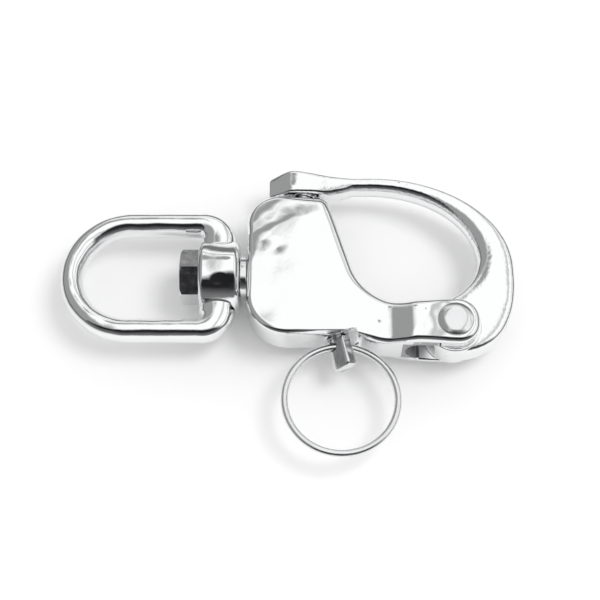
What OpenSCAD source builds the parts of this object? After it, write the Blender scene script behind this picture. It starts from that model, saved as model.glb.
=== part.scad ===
// Swivel snap hook in stainless steel: a flat cast body with a hinged jaw, held shut by a sprung
// plunger with a pull ring, and a swivel bail bolted to its left end.
// Millimetres. Z is up out of the broad face. The swivel axis lies on X, through Y = 0 and Z = 0.
// The origin is the centre of the bail's round end.

/* [Bail] */

// radius of the bail eye, inside the round end
bail_eye_r = 9.2; // [8:0.1:12]
// width of the bail's bar, seen from above
bail_bar_w = 4.4; // [3.8:0.1:5.5]
// thickness of the bail's bar
bail_bar_t = 5.6; // [4:0.1:6.4]
// rounding of the bail's bar
bail_round = 1.9; // [1:0.1:2]
// length of the eye, from its centre to the boss
bail_eye_l = 13.4; // [13:0.1:24]
// width of the cross bar along the swivel axis
cross_w = 7; // [5:0.1:7]
// radius of the bail's two corners, at the middle of the bar
bail_corner_r = 3.6; // [3.6:0.1:4.6]
// diameter of the boss that the bolt turns in
boss_d = 14; // [12.5:0.1:16]
// length of that boss along the swivel axis
boss_l = 7.8; // [7.4:0.1:9]
// bevel at both ends of the boss
boss_bevel = 0.7; // [0.2:0.1:1.2]

/* [Swivel bolt] */

// diameter of the bolt's shank
bolt_d = 6; // [4:0.1:7]
// hexagon size across its flats
hex_af = 9.4; // [8:0.1:11]
// height of the hexagon head
hex_h = 3.5; // [3:0.1:5.5]
// height of the bevel on the hexagon's outer corners
hex_bevel = 0.6; // [0.2:0.1:0.8]
// how far that bevel reaches in from the corners
hex_bevel_w = 0.45; // [0.2:0.05:0.7]
// turn of the hexagon about the swivel axis, in degrees
hex_turn = 4; // [-30:1:30]
// depth that the bolt screws into the body
bolt_grip = 8.5; // [6:0.1:9.5]
// free depth past the bolt's end
bolt_end_gap = 0.5; // [0.2:0.1:1]
// radial clearance of everything that turns or slides on a pin
run_gap = 0.06; // [0.03:0.01:0.1]
// clearance between the bolt head and the boss
head_gap = 0.1; // [0.05:0.05:0.3]
// diameter of the thrust washer
washer_d = 7.9; // [7.4:0.1:9]
// thickness of the thrust washer
washer_t = 1.3; // [0.8:0.1:2]
// clearance between the washer and the boss
washer_gap = 0.05; // [0.05:0.05:0.2]

/* [Body] */

// thickness of the body
body_t = 8.2; // [8:0.1:10]
// length of the broad block, from its left face to its upper right corner
block_l = 15.7; // [15:0.1:17]
// height of the block above the swivel axis
block_up = 16.4; // [15.5:0.1:18]
// depth of the block below the swivel axis
block_down = 13.6; // [12.5:0.1:14]
// radius of the block's upper left corner
corner_up_r = 6.6; // [4:0.1:8]
// radius of the block's lower left corner
corner_down_r = 8; // [5:0.1:9]
// radius of the block's upper right corner
corner_right_r = 2.8; // [2:0.1:4]
// radius of the hollow waist between block and fork
waist_r = 11; // [8:0.1:12]
// slant of the waist's side, how far its foot lies right of its top
waist_slant = 7.1; // [6:0.1:8]
// distance from the block's right corner to the start of the belly before the fork
belly_x = 4; // [3:0.1:5]
// radius of the belly's two bends
belly_r = 10; // [5:0.5:14]
// distance from the foot of the slope back to the belly's second bend
belly_end = 1.5; // [0.5:0.1:2.5]
// rise of the fork's lower edge towards the belly
fork_taper = 0.8; // [0.5:0.1:1.2]
// rounding along the body's edges
body_round = 1.2; // [0.4:0.1:1.4]

/* [Fork and hinge] */

// distance from the body's left face to the hinge pin
hinge_x = 39.4; // [38.5:0.1:43]
// distance of the hinge pin below the swivel axis
hinge_down = 11.6; // [11:0.1:12.5]
// thickness of the fork over both cheeks
fork_t = 11.5; // [10:0.1:12.5]
// half width of the fork at its round end
fork_r = 4.6; // [4.5:0.1:5.2]
// radius of the fork's two end corners
fork_corner_r = 4.1; // [3:0.1:4.1]
// width of the slot between the cheeks
slot_w = 6; // [5:0.1:6.4]
// distance from the hinge pin to the slot's closed end
slot_l = 9.2; // [8.4:0.1:9.6]
// length of the slope between block and fork
slope_l = 4.7; // [3:0.1:6]
// distance from the hinge pin to the top of the slope
slope_x = 7.5; // [7:0.1:9]
// diameter of the hinge pin
pin_d = 4.4; // [3.5:0.1:5]
// diameter of the pin's heads
pin_head_d = 6.8; // [6:0.1:7.6]
// height of the pin's heads
pin_head_h = 0.95; // [0.5:0.05:1.4]
// width of the bevel round the pin's heads
pin_bevel = 1.1; // [0.5:0.1:1.6]
// height of the upright rim below that bevel
pin_rim = 0.3; // [0.1:0.05:0.4]
// draft of that rim
pin_draft = 0.1; // [0.05:0.05:0.3]
// rise of each head's middle above its bevel
pin_crown = 0.1; // [0.05:0.05:0.2]

/* [Jaw] */

// clearance between jaw and cheek, on each side
jaw_gap = 0.1; // [0.05:0.05:0.3]
// radius of the jaw's knuckle
knuckle_r = 5.3; // [5:0.1:5.8]
// distance from the hinge pin to the bow's right edge
bow_reach = 12.5; // [11.5:0.1:14]
// height of the bow's widest point above the hinge pin, on its outer edge
bow_up = 12.9; // [11:0.1:14]
// height of that point on the inner edge
bow_in_up = 15.1; // [13:0.1:16]
// width of the bow at its right edge
bow_w = 7.1; // [6:0.1:8]
// squareness of the bow's upper quarter, where 2 is an ellipse
bow_square = 2; // [1.9:0.05:2.3]
// squareness of the heel's quarter below it
heel_square = 2.5; // [2:0.05:2.7]
// distance from the hinge pin back to the heel's lowest point
heel_x = 1; // [0.5:0.1:1.5]
// distance from the hinge pin back to the middle of the throat's curve
throat_x = 5.6; // [5:0.1:6.2]
// depth of the throat's curve into the knuckle
throat_in = 0.5; // [0.2:0.1:0.8]
// angle that the throat's curve turns through, in degrees
throat_turn = 61; // [56:1:66]
// rounding of the bow and the arm
bow_round = 1.3; // [0.8:0.1:1.4]
// rounding of the heel beside the knuckle
heel_round = 0.8; // [0.5:0.1:1.2]
// distance from the hinge pin back to the end of the straight arm
arm_end = 15; // [13:0.1:17]
// thickness of the slender arm
arm_t = 4.8; // [4:0.1:5.6]
// width of the slender arm
arm_w = 2.9; // [2.4:0.1:4]
// step from the latch block's underside up to the arm's
arm_lift = 1.4; // [0.8:0.1:2]
// length of the latch block along the arm
latch_l = 12; // [11:0.1:13.5]
// width of the latch block
latch_w = 5.4; // [4.8:0.1:6]
// thickness of the latch block
latch_t = 7; // [6:0.1:8]
// clearance between latch block and body
latch_gap = 0.9; // [0.4:0.1:1.4]
// offset of the latch block's middle to the left of the plunger's tip
latch_off = 0.3; // [0:0.1:0.8]
// rounding of the latch block
latch_round = 0.9; // [0.5:0.1:1.2]
// length of the block's flat top right of the plunger's tip
latch_flat = 1.5; // [1:0.1:2.5]
// fall of the block's outer face along that top
latch_fall = 0.3; // [0:0.1:0.6]
// length of the ramp from the latch block to the slender arm
ramp_l = 3; // [2:0.1:4]
// length of the slope at the latch block's free end
nose_l = 4; // [2:0.1:5]
// thickness of that end
nose_t = 2.2; // [1.8:0.1:3.5]
// drop of that end's outer face
nose_drop = 1.6; // [0.8:0.1:2]
// rise of that end's inner face
nose_rise = 0.6; // [0.2:0.1:1]
// length of that end's blunt edge
nose_edge = 0.3; // [0.2:0.1:0.6]
// clearance round the plunger in the latch block's socket
socket_gap = 0.2; // [0.1:0.05:0.4]

/* [Plunger] */

// tilt of the plunger against Y, in degrees
tilt = 12; // [8:0.5:14]
// distance from the body's left face to the plunger, at the front wall
plunger_x = 17.7; // [17:0.1:19]
// diameter of the plunger's latch end
plunger_d = 3.9; // [3:0.1:4.2]
// diameter of the plunger's stem on the tail side
stem_d = 2.8; // [2:0.1:3]
// diameter of the spring chamber
chamber_d = 5.6; // [5.2:0.1:6]
// length of the spring chamber
chamber_l = 16; // [14:0.1:18]
// length of the plunger's collar
collar_l = 2; // [1:0.1:3]
// length of the guide bush
bush_l = 2.6; // [1.5:0.1:3.5]
// reach of the plunger into the latch block
reach = 2.6; // [2:0.1:3]
// bevel on the latch end's tip
tip_bevel = 0.5; // [0.2:0.1:1]
// clearance behind the flat tail
tail_gap = 0.25; // [0.1:0.05:0.6]
// bevel at the tail's end
tail_bevel = 0.6; // [0.2:0.1:1]
// length of the flat tail
tail_l = 5.8; // [5:0.1:8]
// thickness of the flat tail
tail_t = 2; // [1.6:0.1:2.6]
// width of the flat tail
tail_w = 4.8; // [4:0.1:5.4]
// turn of the flat tail about the plunger, in degrees
tail_turn = 38; // [0:1:45]
// diameter of the scooped seat round the tail
seat_d = 10.4; // [8:0.1:12]
// depth of that seat
seat_deep = 0.4; // [0.1:0.1:1]
// wire diameter of the spring
spring_wire = 0.5; // [0.3:0.05:0.7]
// turns of the spring
spring_turns = 7; // [5:1:9]

/* [Pull ring] */

// wire diameter of the ring
ring_wire = 1.35; // [1:0.05:1.8]
// outer diameter of the ring
ring_d = 22.5; // [18:0.1:28]
// distance from the front wall to the ring's hole in the tail
ring_hole_x = 1.2; // [1.2:0.1:2.4]
// clearance round the ring's wire in its hole
ring_gap = 0.35; // [0.3:0.05:0.4]
// slope of the ring at rest, in degrees
ring_drop = 0; // [0:1:15]

/* [Hidden] */

$fn = 64;

steel = [0.78, 0.79, 0.80];
dark_steel = [0.62, 0.63, 0.65];
// small overlap where one cut opens into another
over = 0.5;
// how far a cut runs on past the face that it opens
cut_over = 4;
// points along each rounded edge, along each fillet and along each long curve
edge_steps = 3;
arc_steps = 8;
curve_steps = 5;

bail_mid_r = bail_eye_r + bail_bar_w / 2;
boss_x = bail_eye_l;
boss_end = boss_x + boss_l;
cross_x = boss_x + cross_w / 2;
body_x = boss_end + washer_gap + washer_t;
hinge = [body_x + hinge_x, -hinge_down];
fork_top = hinge[1] + fork_r;
fork_foot = hinge[1] - fork_r;
block_right = body_x + block_l;
waist_foot = block_right + waist_slant;

// the plunger's own axis: along runs inward from the front wall
mouth = [body_x + plunger_x, -block_down];
along = [-sin(tilt), cos(tilt)];
wall_l = (block_up + block_down) / cos(tilt);
tip_s = wall_l + latch_gap + reach;
collar_s = chamber_l - collar_l - run_gap;
bush_s = seat_deep;
ring_mid_r = (ring_d - ring_wire) / 2;
tail_s = bush_s - tail_gap;
ring_hole = mouth - along * ring_hole_x;

// where the faces start and end their rise to the fork
slope_top = hinge[0] - slope_x;
slope_foot = slope_top - slope_l;

// the jaw's tip, latch block, arm and bow
jaw_t = slot_w - 2 * jaw_gap;
tip = mouth + along * tip_s;
latch_y = block_up + latch_gap;
block_x0 = tip[0] - latch_off - latch_l / 2;
block_x1 = block_x0 + latch_l;
block_top = latch_y + latch_w;
arm_y = latch_y + arm_lift;
arm_top = arm_y + arm_w;
arm_x = hinge[0] - arm_end;
bow_x = hinge[0] + bow_reach;

// Points of a fillet at corner b between a and c, moved inward by inset. Corners run
// anticlockwise, and a hollow corner's radius grows where an outer one's shrinks.
function unit(v) = v / norm(v);
function turn(a, b, c) = (b[0] - a[0]) * (c[1] - b[1]) - (b[1] - a[1]) * (c[0] - b[0]);
function wrap(a) = a > 180 ? a - 360 : a < -180 ? a + 360 : a;
function fillet(a, b, c, r, inset) =
    let (u = unit(a - b), v = unit(c - b), half = acos(u * v) / 2)
    let (mid = b + unit(u + v) * r / sin(half))
    let (p = b + u * r / tan(half) - mid, q = b + v * r / tan(half) - mid)
    let (a0 = atan2(p[1], p[0]), sweep = wrap(atan2(q[1], q[0]) - a0))
    let (grown = turn(a, b, c) > 0 ? r - inset : r + inset)
    [for (k = [0:arc_steps]) mid + grown * [cos(a0 + sweep * k / arc_steps), sin(a0 + sweep * k / arc_steps)]];
function outline(corners, inset) =
    let (n = len(corners))
    [for (i = [0:n - 1])
        let (a = corners[(i + n - 1) % n], b = corners[i], c = corners[(i + 1) % n])
        each fillet([a[0], a[1]], [b[0], b[1]], [c[0], c[1]], b[2], inset)];

// A solid through closed rings of equal length. A looped one joins its last ring to its first.
function skin_sides(m, n, last) =
    [for (i = [0:last]) for (j = [0:n - 1])
        let (a = i * n + j, b = i * n + (j + 1) % n)
        let (c = ((i + 1) % m) * n + (j + 1) % n, d = ((i + 1) % m) * n + j)
        each [[a, c, b], [a, d, c]]];
module skin(rings, looped) {
    m = len(rings);
    n = len(rings[0]);
    caps = looped ? [] : [[for (j = [0:n - 1]) j], [for (j = [n - 1:-1:0]) (m - 1) * n + j]];
    polyhedron([for (r = rings) each r], concat(skin_sides(m, n, looped ? m - 1 : m - 2), caps), convexity = 6);
}

// A rounded bar's section, standing on the line from p to q, with its points anticlockwise.
function bar_ring(p, q, t, r) =
    let (w = norm(q - p), mid = (p + q) / 2, u = unit(q - p))
    let (rr = min(r, w / 2 - 0.05, t / 2 - 0.05))
    [for (c = [0:3]) for (k = [0:edge_steps + 1])
        let (a = 90 * c + 90 * k / (edge_steps + 1))
        let (x = (c == 0 || c == 3 ? 1 : -1) * (w / 2 - rr) + rr * cos(a))
        let (z = (c < 2 ? 1 : -1) * (t / 2 - rr) + rr * sin(a))
        [mid[0] + u[0] * x, mid[1] + u[1] * x, z]];

// A smooth curve through the given stations.
function curve_at(p, i, t) =
    let (a = p[max(i - 1, 0)], b = p[i], c = p[i + 1], d = p[min(i + 2, len(p) - 1)])
    0.5 * (2 * b + (c - a) * t + (2 * a - 5 * b + 4 * c - d) * t * t + (3 * b - a - 3 * c + d) * t * t * t);
function curve(p) =
    [for (i = [0:len(p) - 2]) for (k = [0:curve_steps - 1]) curve_at(p, i, k / curve_steps), p[len(p) - 1]];

// Turns a child that stands along +Z to lie along the plunger's axis, from its mouth inward.
module on_plunger(s) {
    translate([mouth[0] + along[0] * s, mouth[1] + along[1] * s, 0])
        rotate([0, 0, tilt])
            rotate([-90, 0, 0])
                children();
}

// Body: one outline round block, waist and fork. The faces rise along the slope, and the edges
// are drawn in along a quarter circle.
body_corners = [
    [body_x, -block_down, corner_down_r],
    [block_right + belly_x, -block_down, belly_r],
    [slope_foot - belly_end, fork_foot + fork_taper, belly_r],
    [hinge[0] + fork_r, fork_foot, fork_corner_r],
    [hinge[0] + fork_r, fork_top, fork_corner_r],
    [waist_foot, fork_top, waist_r],
    [block_right, block_up, corner_right_r],
    [body_x, block_up, corner_up_r]];
function half_t(x) =
    x <= slope_foot ? body_t / 2
    : x >= slope_top ? fork_t / 2
    : body_t / 2 + (fork_t - body_t) / 2 * (x - slope_foot) / slope_l;

// The outline with a point added wherever it crosses x0.
function crossed(line, x0) =
    let (n = len(line))
    [for (i = [0:n - 1])
        let (a = line[i], b = line[(i + 1) % n])
        each (a[0] - x0) * (b[0] - x0) < 0
             ? [a, [x0, a[1] + (b[1] - a[1]) * (x0 - a[0]) / (b[0] - a[0])]]
             : [a]];
function body_ring(inset, drop, side) =
    [for (p = crossed(crossed(outline(body_corners, inset), slope_foot), slope_top))
        [p[0], p[1], side * (half_t(p[0]) - drop)]];

module body_skin() {
    rings = [for (j = [0:edge_steps])
                 let (a = 90 * (1 - j / edge_steps))
                 body_ring(body_round * (1 - cos(a)), body_round * (1 - sin(a)), -1),
             for (j = [0:edge_steps])
                 let (a = 90 * j / edge_steps)
                 body_ring(body_round * (1 - cos(a)), body_round * (1 - sin(a)), 1)];
    m = len(rings);
    n = len(rings[0]);
    foot = [for (j = [0:n - 1]) if (abs(rings[0][j][0] - slope_foot) < 0.000001) j];
    top = [for (j = [0:n - 1]) if (abs(rings[0][j][0] - slope_top) < 0.000001) j];
    flats = [concat([for (j = [0:foot[0]]) j], [for (j = [foot[1]:n - 1]) j]),
             concat([for (j = [foot[0]:top[0]]) j], [for (j = [top[1]:foot[1]]) j]),
             [for (j = [top[0]:top[1]]) j]];
    caps = concat(flats, [for (f = flats) [for (k = [len(f) - 1:-1:0]) (m - 1) * n + f[k]]]);
    polyhedron([for (r = rings) each r], concat(skin_sides(m, n, m - 2), caps), convexity = 6);
}

module body() {
    color(steel)
        difference() {
            body_skin();
            slot();
            translate([hinge[0], hinge[1], -fork_t])
                cylinder(h = 2 * fork_t, d = pin_d);
            translate([body_x - over, 0, 0])
                rotate([0, 90, 0])
                    cylinder(h = bolt_grip + over, d = bolt_d);
            on_plunger(-cut_over)
                cylinder(h = chamber_l + cut_over, d = chamber_d);
            on_plunger(chamber_l - over)
                cylinder(h = wall_l, d = plunger_d + 2 * run_gap);
            on_plunger(-cut_over)
                cylinder(h = cut_over + seat_deep, d = seat_d);
        }
}

module slot() {
    r = slot_w / 2;
    x0 = hinge[0] - slot_l + r;
    x1 = hinge[0] + 2 * fork_r;
    translate([0, fork_top + cut_over, 0])
        rotate([90, 0, 0])
            linear_extrude(height = 2 * fork_r + 2 * cut_over)
                polygon(concat([for (k = [0:2 * arc_steps])
                                    let (a = 90 + 180 * k / (2 * arc_steps))
                                    [x0 + r * cos(a), r * sin(a)]],
                               [[x1, -r], [x1, r]]));
}

// Jaw: rings from the latch block's free end along the arm, round the bow and down to the knuckle.
// A point of a curved quarter: centre c, half sizes a, angle t and squareness n.
function quarter(c, a, t, n) =
    [c[0] + a[0] * pow(abs(cos(t)), 2 / n), c[1] + sign(sin(t)) * a[1] * pow(abs(sin(t)), 2 / n)];
function bow_outer(t) =
    t >= 0
    ? quarter([arm_x, hinge[1] + bow_up], [bow_x - arm_x, arm_top - hinge[1] - bow_up], t, bow_square)
    : quarter([hinge[0] - heel_x, hinge[1] + bow_up], [bow_reach + heel_x, bow_up + knuckle_r], t, heel_square);
function bow_inner(t) =
    t >= 0
    ? quarter([arm_x, hinge[1] + bow_in_up], [bow_x - bow_w - arm_x, arm_y - hinge[1] - bow_in_up], t, 2)
    : quarter([hinge[0] - throat_x, hinge[1] + bow_in_up],
              [bow_reach - bow_w + throat_x, bow_in_up - knuckle_r + throat_in], t * throat_turn / 90, 2);

// stations of the latch block and the arm: outer x and y, inner x and y, thickness, rounding
block_stations = curve([
    [block_x0, block_top - nose_drop, block_x0, latch_y + nose_rise, nose_t, latch_round],
    [block_x0 + nose_edge, block_top - nose_drop / 2, block_x0 + nose_edge, latch_y + nose_rise / 3,
     nose_t + 2 * nose_edge, latch_round],
    [block_x0 + nose_l, block_top, block_x0 + nose_l, latch_y, latch_t, latch_round],
    [tip[0] + latch_flat, block_top - latch_fall, tip[0] + latch_flat, latch_y, latch_t, latch_round],
    [block_x1, arm_top + latch_fall, block_x1, latch_y, (latch_t + arm_t) / 2, latch_round],
    [block_x1 + ramp_l, arm_top, block_x1 + ramp_l, arm_y, arm_t, bow_round]]);
bow_steps = 10;
bow_stations = [
    for (k = [0:bow_steps])
        let (t = 90 * (1 - k / bow_steps), f = k / bow_steps)
        concat(bow_outer(t), bow_inner(t), [arm_t + (jaw_t - arm_t) * f, bow_round]),
    for (k = [1:bow_steps])
        let (t = -90 * k / bow_steps, f = k / bow_steps)
        concat(bow_outer(t), bow_inner(t), [jaw_t, bow_round + (heel_round - bow_round) * f])];
jaw_rings = [for (s = concat(block_stations, bow_stations)) bar_ring([s[2], s[3]], [s[0], s[1]], s[4], s[5])];

module jaw() {
    color(steel)
        difference() {
            union() {
                skin(jaw_rings, false);
                translate([hinge[0], hinge[1], -jaw_t / 2])
                    cylinder(h = jaw_t, r = knuckle_r);
            }
            translate([hinge[0], hinge[1], -jaw_t])
                cylinder(h = 2 * jaw_t, d = pin_d + 2 * run_gap);
            on_plunger(wall_l - over)
                cylinder(h = tip_s - wall_l + over + socket_gap, d = plunger_d + 2 * socket_gap);
        }
}

// Hinge pin: a shank with a bevelled head on each face.
module hinge_pin() {
    r0 = pin_head_d / 2;
    face = fork_t / 2;
    top = face + pin_head_h;
    color(dark_steel)
        translate([hinge[0], hinge[1], 0])
            rotate_extrude($fn = 96)
                polygon([[0, -top], [r0 - pin_bevel, -top + pin_crown], [r0 - pin_draft, -face - pin_rim],
                         [r0, -face], [pin_d / 2, -face], [pin_d / 2, face],
                         [r0, face], [r0 - pin_draft, face + pin_rim],
                         [r0 - pin_bevel, top - pin_crown], [0, top]]);
}

// Plunger: latch end, collar, stem and the flat tail with the ring's hole.
module plunger() {
    color(dark_steel)
        difference() {
            union() {
                on_plunger(chamber_l - run_gap - over)
                    cylinder(h = tip_s - tip_bevel - chamber_l + run_gap + over, d = plunger_d);
                on_plunger(tip_s - tip_bevel)
                    cylinder(h = tip_bevel, d1 = plunger_d, d2 = plunger_d - 2 * tip_bevel);
                on_plunger(collar_s)
                    cylinder(h = collar_l, d = chamber_d - 2 * run_gap);
                on_plunger(tail_s - over)
                    cylinder(h = collar_s - tail_s + 2 * over, d = stem_d);
                on_plunger(tail_s - tail_l)
                    rotate([0, 0, tail_turn])
                        intersection() {
                            union() {
                                cylinder(h = tail_bevel, d1 = tail_w - 2 * tail_bevel, d2 = tail_w);
                                translate([0, 0, tail_bevel])
                                    cylinder(h = tail_l - tail_bevel, d = tail_w);
                            }
                            translate([-tail_t / 2, -tail_w, 0])
                                cube([tail_t, 2 * tail_w, tail_l]);
                        }
            }
            translate([ring_hole[0] - tail_w, ring_hole[1], 0])
                rotate([0, 90, 0])
                    cylinder(h = 2 * tail_w, d = ring_wire + 2 * ring_gap);
        }
}

// Plunger spring: a coil between the guide bush and the collar.
module plunger_spring() {
    mid_r = (stem_d + chamber_d) / 4;
    s0 = bush_s + bush_l + spring_wire / 2;
    s1 = collar_s - spring_wire / 2;
    n = round(spring_turns) * 14;
    rings = [for (i = [0:n])
        let (a = 360 * round(spring_turns) * i / n, z = (s1 - s0) * i / n)
        [for (k = [0:5])
            let (b = 60 * k, r = mid_r + spring_wire / 2 * cos(b))
            [r * cos(a), r * sin(a), z + spring_wire / 2 * sin(b)]]];
    color(dark_steel)
        on_plunger(s0)
            skin(rings, false);
}

// Guide bush: closes the spring chamber round the plunger's stem.
module guide_bush() {
    color(dark_steel)
        on_plunger(bush_s)
            difference() {
                cylinder(h = bush_l, d = chamber_d);
                translate([0, 0, -over])
                    cylinder(h = bush_l + 2 * over, d = stem_d + 2 * run_gap);
            }
}

// Pull ring: round wire through the tail's hole, sloping down to the table.
module pull_ring() {
    color(steel)
        translate([ring_hole[0], ring_hole[1], 0])
            rotate([ring_drop, 0, 0])
                translate([0, -ring_mid_r, 0])
                    rotate_extrude($fn = 96)
                        translate([ring_mid_r, 0])
                            circle(d = ring_wire, $fn = 32);
}

// Swivel bolt: a hexagon head with bevelled corners and a shank into the body.
module swivel_bolt() {
    corner_d = hex_af / cos(30);
    color(steel) {
        translate([boss_x - head_gap, 0, 0])
            rotate([hex_turn, 0, 0])
                rotate([0, -90, 0])
                    intersection() {
                        cylinder(h = hex_h, d = corner_d, $fn = 6);
                        union() {
                            cylinder(h = hex_h - hex_bevel, d = corner_d + over);
                            translate([0, 0, hex_h - hex_bevel])
                                cylinder(h = hex_bevel, d1 = corner_d + over, d2 = corner_d - 2 * hex_bevel_w);
                        }
                    }
        translate([boss_x - head_gap - over, 0, 0])
            rotate([0, 90, 0])
                cylinder(h = body_x + bolt_grip - boss_x + head_gap + over - bolt_end_gap, d = bolt_d);
    }
}

// Thrust washer: the short round neck between boss and body.
module thrust_washer() {
    color(steel)
        translate([body_x - washer_t, 0, 0])
            rotate([0, 90, 0])
                difference() {
                    cylinder(h = washer_t, d = washer_d);
                    translate([0, 0, -over])
                        cylinder(h = washer_t + 2 * over, d = bolt_d);
                }
}

// Bail: one closed loop of rounded bar, with the boss across it.
function bail_station(x, y, a, w) = [[x, y], [cos(a), sin(a)], w];
bail_half = [
    bail_station(cross_x, 0, 0, cross_w),
    bail_station(cross_x, (bail_mid_r - bail_corner_r) / 2, 0, cross_w),
    for (k = [0:6])
        let (a = 90 * k / 6)
        bail_station(cross_x - bail_corner_r + bail_corner_r * cos(a),
                     bail_mid_r - bail_corner_r + bail_corner_r * sin(a), a,
                     cross_w + (bail_bar_w - cross_w) * k / 6),
    bail_station((cross_x - bail_corner_r) / 2, bail_mid_r, 90, bail_bar_w),
    for (k = [0:10])
        let (a = 90 + 9 * k)
        bail_station(bail_mid_r * cos(a), bail_mid_r * sin(a), a, bail_bar_w)];
bail_path = concat(bail_half,
    [for (i = [len(bail_half) - 2:-1:1])
        let (s = bail_half[i])
        [[s[0][0], -s[0][1]], [s[1][0], -s[1][1]], s[2]]]);

module bail() {
    rings = [for (s = bail_path)
        bar_ring(s[0] + s[1] * s[2] / 2, s[0] - s[1] * s[2] / 2, bail_bar_t, bail_round)];
    color(steel)
        difference() {
            union() {
                skin(rings, true);
                translate([boss_x, 0, 0])
                    rotate([0, 90, 0])
                        rotate_extrude($fn = 96)
                            polygon([[0, 0], [boss_d / 2 - boss_bevel, 0], [boss_d / 2, boss_bevel],
                                     [boss_d / 2, boss_l - boss_bevel], [boss_d / 2 - boss_bevel, boss_l],
                                     [0, boss_l]]);
            }
            translate([boss_x - over, 0, 0])
                rotate([0, 90, 0])
                    cylinder(h = boss_l + 2 * over, d = bolt_d + 2 * run_gap);
        }
}

body();
jaw();
hinge_pin();
plunger();
plunger_spring();
guide_bush();
pull_ring();
swivel_bolt();
thrust_washer();
bail();
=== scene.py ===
import bpy
import math
import numpy as np
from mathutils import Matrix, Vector


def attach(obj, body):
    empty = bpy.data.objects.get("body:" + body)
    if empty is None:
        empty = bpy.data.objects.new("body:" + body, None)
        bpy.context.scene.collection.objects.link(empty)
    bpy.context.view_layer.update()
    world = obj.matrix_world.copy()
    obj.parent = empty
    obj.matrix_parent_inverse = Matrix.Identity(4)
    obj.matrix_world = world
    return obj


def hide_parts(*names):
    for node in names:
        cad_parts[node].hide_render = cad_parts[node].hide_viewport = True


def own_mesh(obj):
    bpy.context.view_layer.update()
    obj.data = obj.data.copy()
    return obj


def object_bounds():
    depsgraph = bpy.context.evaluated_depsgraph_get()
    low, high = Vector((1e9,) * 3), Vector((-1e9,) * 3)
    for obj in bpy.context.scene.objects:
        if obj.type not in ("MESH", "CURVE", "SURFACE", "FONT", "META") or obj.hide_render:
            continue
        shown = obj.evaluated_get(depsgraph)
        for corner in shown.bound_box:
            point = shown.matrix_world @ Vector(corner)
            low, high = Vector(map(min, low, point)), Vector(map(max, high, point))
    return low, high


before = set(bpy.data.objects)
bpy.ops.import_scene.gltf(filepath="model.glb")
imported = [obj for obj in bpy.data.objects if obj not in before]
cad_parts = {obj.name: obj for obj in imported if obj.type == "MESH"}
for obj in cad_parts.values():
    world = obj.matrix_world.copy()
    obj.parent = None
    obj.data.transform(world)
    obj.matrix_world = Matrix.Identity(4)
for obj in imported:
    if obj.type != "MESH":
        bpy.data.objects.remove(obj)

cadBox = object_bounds()
mm = 0.001  # every shape below is in millimetres, and every mesh in metres
scene = bpy.context.scene
print("frame loaded")


# quads between neighbouring rows and columns of a grid of points: point (i, j) has the number i times
# the columns plus j, the last column joins the first, and so does the last row where asked
def gridQuads(rows, cols, wrapRows=False):
    i = np.arange(rows if wrapRows else rows - 1)[:, None]
    j = np.arange(cols)[None, :]
    nextRow, nextCol = (i + 1) % rows, (j + 1) % cols
    corners = (i * cols + j, nextRow * cols + j, nextRow * cols + nextCol, i * cols + nextCol)
    return np.stack(corners, -1).reshape(-1, 4)


# an object from points, quads and any flat many-sided caps
def makePiece(name, points, quads, caps=(), smoothAngle=35):
    points = np.asarray(points, float).reshape(-1, 3) * mm
    sizes = np.concatenate([np.full(len(quads), 4), [len(c) for c in caps]]).astype(np.int32)
    loops = np.concatenate([quads.ravel(), *caps]).astype(np.int32)
    mesh = bpy.data.meshes.new(name)
    mesh.vertices.add(len(points))
    mesh.vertices.foreach_set("co", points.ravel().astype(np.float32))
    mesh.loops.add(len(loops))
    mesh.loops.foreach_set("vertex_index", loops)
    mesh.polygons.add(len(sizes))
    mesh.polygons.foreach_set("loop_start", (np.cumsum(sizes) - sizes).astype(np.int32))
    mesh.update(calc_edges=True)
    mesh.validate()
    piece = bpy.data.objects.new(name, mesh)
    scene.collection.objects.link(piece)
    softShade(piece, smoothAngle)
    faceOutwards(piece)
    return piece


# smooth shading, with a hard edge wherever two faces meet more steeply than the angle
def softShade(piece, angle):
    piece.data.shade_smooth()
    piece.data.set_sharp_from_angle(angle=math.radians(angle))


# turns every face outwards: six times the volume is the sum of a . (b x c) over the triangles, and a
# negative sum means that the shell is inside out
def faceOutwards(piece):
    mesh = piece.data
    mesh.calc_loop_triangles()
    co = np.empty(len(mesh.vertices) * 3)
    mesh.vertices.foreach_get("co", co)
    tri = np.empty(len(mesh.loop_triangles) * 3, np.int32)
    mesh.loop_triangles.foreach_get("vertices", tri)
    a, b, c = co.reshape(-1, 3)[tri.reshape(-1, 3)].transpose(1, 0, 2)
    if np.einsum("ij,ij->i", a, np.cross(b, c)).sum() < 0:
        mesh.flip_normals()


# a piece from a stack of rings: quads between them and a flat cap on the first and the last, or the
# last ring joined to the first. The caps run the other way round than the quads at their end.
def ringPiece(name, rings, smoothAngle=35, closed=False):
    m, n = rings.shape[:2]
    caps = [] if closed else [np.arange(n), np.arange(n)[::-1] + (m - 1) * n]
    return makePiece(name, rings, gridQuads(m, n, wrapRows=closed), caps, smoothAngle)


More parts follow.
